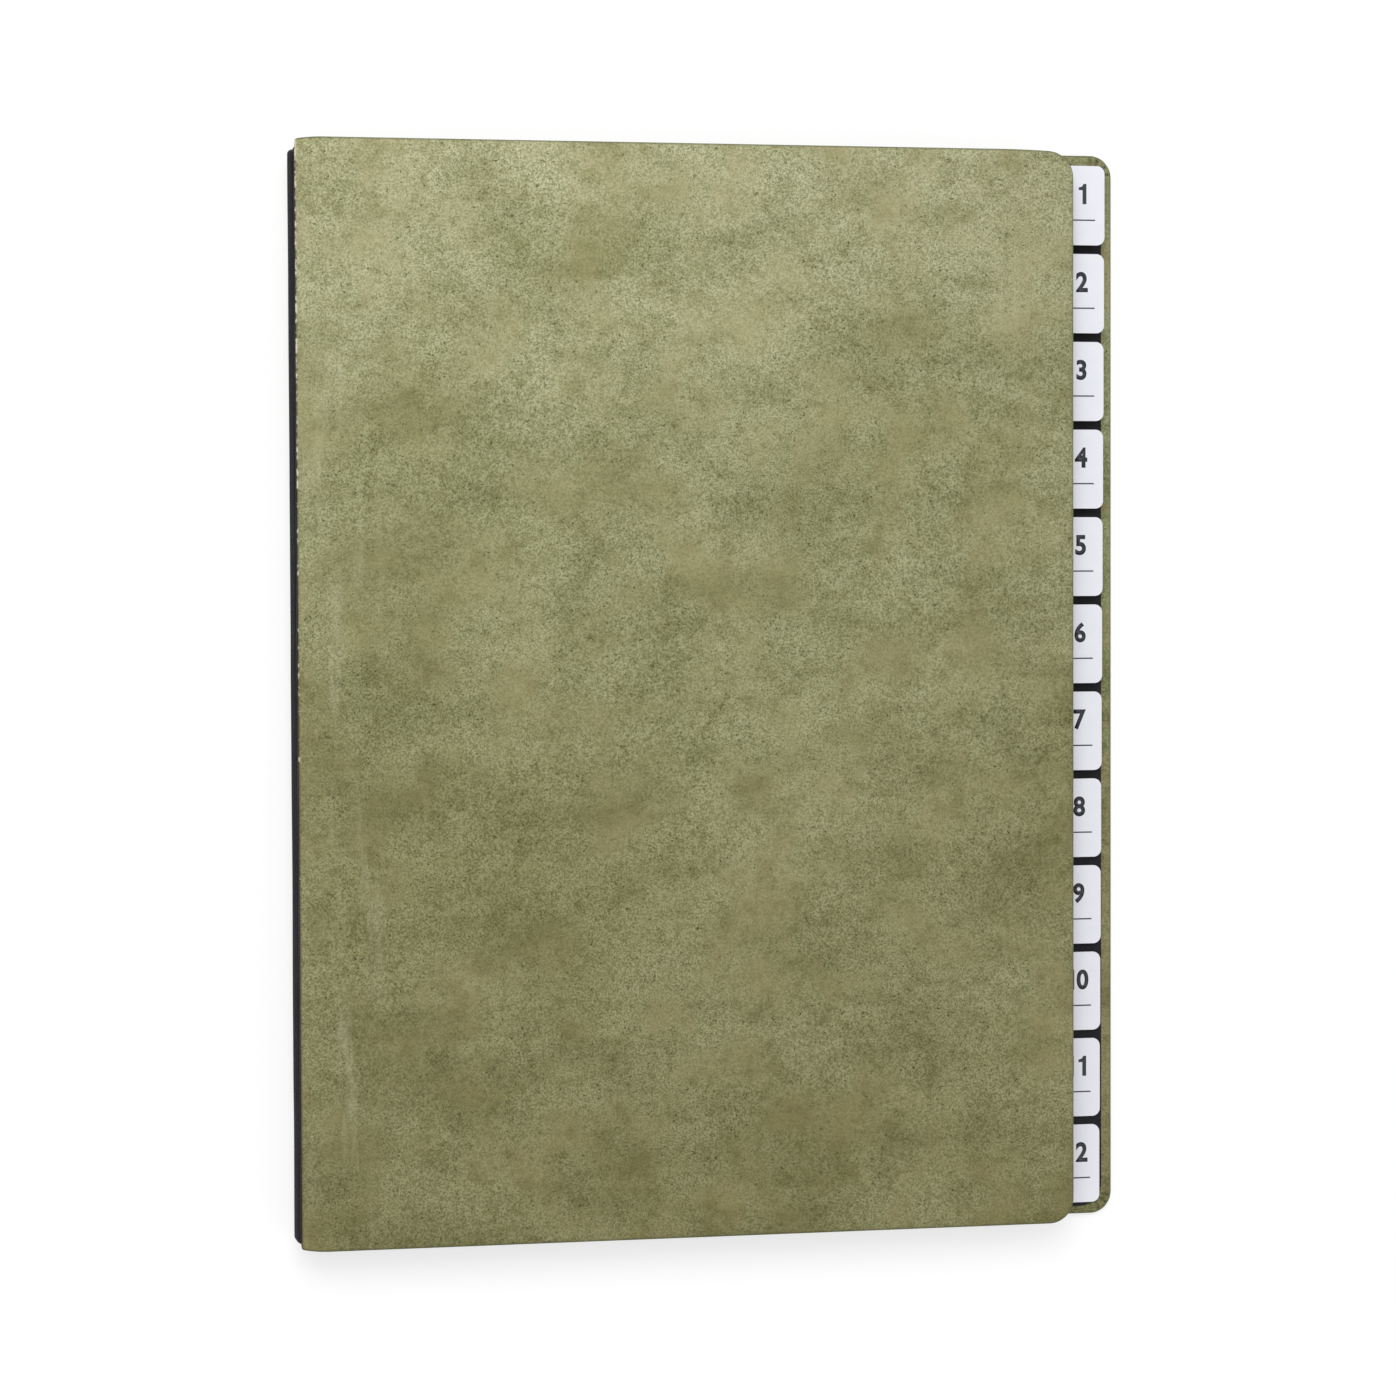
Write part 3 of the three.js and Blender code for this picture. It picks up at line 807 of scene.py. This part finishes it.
def flat_digit(digit):
    """A bold digit as a flat mesh, one unit high, with its left foot at the origin."""
    flat = bmesh.new()
    if digit == "1":
        flat.faces.new([flat.verts.new((x, y, 0)) for x, y in DIGIT_ONE])
        return flat
    curve = bpy.data.curves.new("digit", "FONT")
    curve.body = digit
    curve.offset = DIGIT_WEIGHT
    curve.resolution_u = DIGIT_CURVE_STEPS
    curve.fill_mode = "FRONT"
    thing = in_scene("digit", curve)
    mesh = bpy.data.meshes.new_from_object(thing.evaluated_get(bpy.context.evaluated_depsgraph_get()))
    bpy.data.objects.remove(thing)
    flat.from_mesh(mesh)
    corners = np.array([v.co for v in flat.verts])
    least = Vector(corners.min(0))
    tall = corners[:, 1].max() - least.y
    size = Matrix.Diagonal((NUMERAL_NARROWING / tall, 1 / tall, 1, 1))
    flat.transform(size @ Matrix.Translation(-least))
    return flat


def raise_film(flat):
    """Raises a flat mesh to a closed film of ink."""
    bmesh.ops.remove_doubles(flat, verts=flat.verts, dist=MERGE_DISTANCE)
    # Where a bold outline crosses itself, it leaves a stray triangle
    crowded = [e for e in flat.edges if len(e.link_faces) > 2]
    stray = {min(e.link_faces, key=lambda f: f.calc_area()) for e in crowded}
    bmesh.ops.delete(flat, geom=[f for f in flat.faces if f in stray], context="FACES")
    raised = bmesh.ops.extrude_face_region(flat, geom=flat.faces[:])["geom"]
    film = [v for v in raised if isinstance(v, bmesh.types.BMVert)]
    bmesh.ops.translate(flat, verts=film, vec=(0, 0, INK_THICKNESS))
    bmesh.ops.recalc_face_normals(flat, faces=flat.faces)
    # Raising leaves the faces in an order that changes from run to run, so they are put in order of points
    flat.verts.index_update()
    ordered = sorted(flat.faces, key=lambda face: sorted(v.index for v in face.verts))
    for place, face in enumerate(ordered):
        face.index = place
    flat.faces.sort()


def numerals():
    """The printed numbers 1 to 12, one on each label, each a closed film of ink."""
    whole = bmesh.new()
    for number in range(1, PLEATS + 1):
        low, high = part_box(f"tab_label_{number:02d}")
        digits = [flat_digit(digit) for digit in str(number)]
        second = len(digits) - 1
        middle = (low.x + high.x) / 2 - (DIGIT_PITCH * NUMERAL_HEIGHT / 2 + TWO_DIGIT_SHIFT) * second
        foot = high.y - NUMERAL_FROM_TOP - NUMERAL_HEIGHT / 2
        for place, digit in enumerate(digits):
            left = middle + (DIGIT_PITCH * place - max(v.co.x for v in digit.verts) / 2) * NUMERAL_HEIGHT
            digit.transform(Matrix.Translation((left, foot, high.z)) @ Matrix.Scale(NUMERAL_HEIGHT, 4))
            raise_film(digit)
            mesh = bpy.data.meshes.new("digit")
            digit.to_mesh(mesh)
            digit.free()
            whole.from_mesh(mesh)
    mesh = bpy.data.meshes.new("tab_numerals")
    whole.to_mesh(mesh)
    whole.free()
    mesh.materials.append(INK)
    made = in_scene("tab_numerals", mesh)
    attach(made, "leaf_block")


def rules():
    """A short printed rule under each number, to write on."""
    low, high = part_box("tab_label_01")
    last_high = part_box(f"tab_label_{PLEATS:02d}")[1]
    centre = Vector(((low.x + high.x) / 2, high.y - RULE_FROM_TOP, high.z + INK_THICKNESS / 2))
    made = bmesh.new()
    size = Matrix.Diagonal((RULE_LENGTH, RULE_WIDTH, INK_THICKNESS, 1))
    bmesh.ops.create_cube(made, size=1, matrix=Matrix.Translation(centre) @ size)
    mesh = bpy.data.meshes.new("tab_rules")
    made.to_mesh(mesh)
    made.free()
    thing = in_scene("tab_rules", mesh)
    step = (0, (last_high.y - high.y) / (PLEATS - 1), (last_high.z - high.z) / (PLEATS - 1))
    repeated(thing, stack_tree("printed_rules", INK), Copies=PLEATS, Step=step)
    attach(thing, "leaf_block")


def lining(side):
    """The pasted lining of a cover, which runs on to show as a thin black line beside the labels: partly the
    real lining, partly a dark sheet put where the labels' shadow falls, a painted shadow.
    """
    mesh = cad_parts[f"{side}_lining"].data.copy()
    made = bmesh.new()
    made.from_mesh(mesh)
    bmesh.ops.remove_doubles(made, verts=made.verts, dist=MERGE_DISTANCE)
    fore_x = max(v.co.x for v in made.verts)
    for vertex in made.verts:
        if vertex.co.x > fore_x - LINING_CORNER_RADIUS:
            # Moving the fore edge out makes a painted shadow beside the labels, as well as showing the
            # lining
            vertex.co.x += LINING_PAST_LABELS_FOR_SHADOW
    made.to_mesh(mesh)
    made.free()
    mesh.materials.clear()
    mesh.materials.append(LINING)
    thing = in_scene(f"{side}_lining_paper", mesh)
    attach(thing, f"{side}_cover")
    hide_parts(f"{side}_lining")


def dress_solids():
    """Gives each solid that stays its own finish."""
    finishes = {"board": BOARD, "leaf": CARD, "label": LABEL}
    for name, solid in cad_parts.items():
        for word, finish in finishes.items():
            if word in name:
                for slot in solid.material_slots:
                    slot.material = finish


def seen_directly(tree):
    """1 for what the camera sees, straight or in a reflection, and 0 for light that falls on the folder."""
    rays = add(tree, "ShaderNodeLightPath").outputs
    seen = [rays["Is Camera Ray"], rays["Is Glossy Ray"]]
    return add(tree, "ShaderNodeMath", operation="MAXIMUM", Value=seen)


def white_table():
    """A white table that keeps the folder's shadow and fades to plain white further off."""
    material = bpy.data.materials.new("white_table")
    material.use_nodes = True
    tree = material.node_tree
    tree.nodes.clear()
    place = add(tree, "ShaderNodeTexCoord").outputs["Object"]
    away = add(tree, "ShaderNodeVectorMath", operation="LENGTH", Vector=place).outputs["Value"]
    seen = seen_directly(tree)
    paint = add(tree, "ShaderNodeMix", data_type="RGBA", Factor=seen, A="#f3f3f3", B="#a2a2a2")
    lit = add(tree, "ShaderNodeBsdfDiffuse", Color=paint)
    strength = add(tree, "ShaderNodeMath", operation="MULTIPLY", Value=[seen, TABLE_GLOW])
    glow = add(tree, "ShaderNodeEmission", Strength=strength)
    near = add(tree, "ShaderNodeAddShader", Shader=[lit, glow])
    fade = add(
        tree,
        "ShaderNodeMapRange",
        interpolation_type="SMOOTHSTEP",
        Value=away,
        From_Min=TABLE_FADE_START,
        From_Max=TABLE_FADE_END,
    )
    beyond = add(tree, "ShaderNodeMath", operation="MULTIPLY", Value=[fade, seen])
    far = add(tree, "ShaderNodeEmission", Strength=1.0)
    mixed = add(tree, "ShaderNodeMixShader", Fac=beyond, Shader=[near, far])
    add(tree, "ShaderNodeOutputMaterial", Surface=mixed)
    bpy.ops.mesh.primitive_plane_add(size=TABLE_SIZE, location=(0, 0, 0))
    table = bpy.context.object
    table.name = "table_top"
    table.data.materials.append(material)


def studio_light():
    """A large soft lamp high beyond the head of the pages, and a plain white surround."""
    world = bpy.data.worlds.new("surround")
    bpy.context.scene.world = world
    world.use_nodes = True
    tree = world.node_tree
    tree.nodes.clear()
    strength = add(tree, "ShaderNodeMapRange", Value=seen_directly(tree), To_Min=SURROUND, To_Max=1.0)
    back = add(tree, "ShaderNodeBackground", Strength=strength, Color=(1, 1, 1, 1))
    add(tree, "ShaderNodeOutputWorld", Surface=back)
    lamp = bpy.data.lights.new("softbox", "AREA")
    lamp.shape = "SQUARE"
    lamp.size = LAMP_SIZE
    lamp.energy = LAMP_POWER
    thing = in_scene("softbox", lamp)
    thing.location = LAMP_PLACE
    thing.rotation_euler = (-LAMP_PLACE).to_track_quat("-Z", "Y").to_euler()


def camera():
    """The camera of the photograph: above the folder, a little to the left of its middle."""
    left, head, roll = (math.radians(a) for a in (CAMERA_FROM_LEFT, CAMERA_FROM_HEAD, CAMERA_ROLL))
    back = Vector((-math.sin(left) * math.cos(head), math.sin(head), math.cos(left) * math.cos(head)))
    right = (-back).cross(Vector((0, 1, 0))).normalized()
    up = right.cross(-back)
    turned_right = right * math.cos(roll) + up * math.sin(roll)
    turned_up = up * math.cos(roll) - right * math.sin(roll)
    data = bpy.data.cameras.new("photo_camera")
    data.sensor_width = CAMERA_SENSOR_WIDTH
    data.lens = data.sensor_width * CAMERA_FOCAL_PIXELS / PHOTO_SIDE
    data.clip_start = CAMERA_CLIP_START
    thing = in_scene("photo_camera", data)
    turn = Matrix((turned_right, turned_up, back)).transposed().to_4x4()
    thing.matrix_world = Matrix.Translation(CAMERA_TARGET + back * CAMERA_DISTANCE) @ turn
    bpy.context.scene.camera = thing


bpy.context.scene.view_settings.view_transform = "Standard"
camera()
leather_cover("back")
leather_cover("front")
pleated_spine()
joint_cloth("back")
joint_cloth("front")
lining("back")
lining("front")
dress_solids()
numerals()
rules()
white_table()
studio_light()
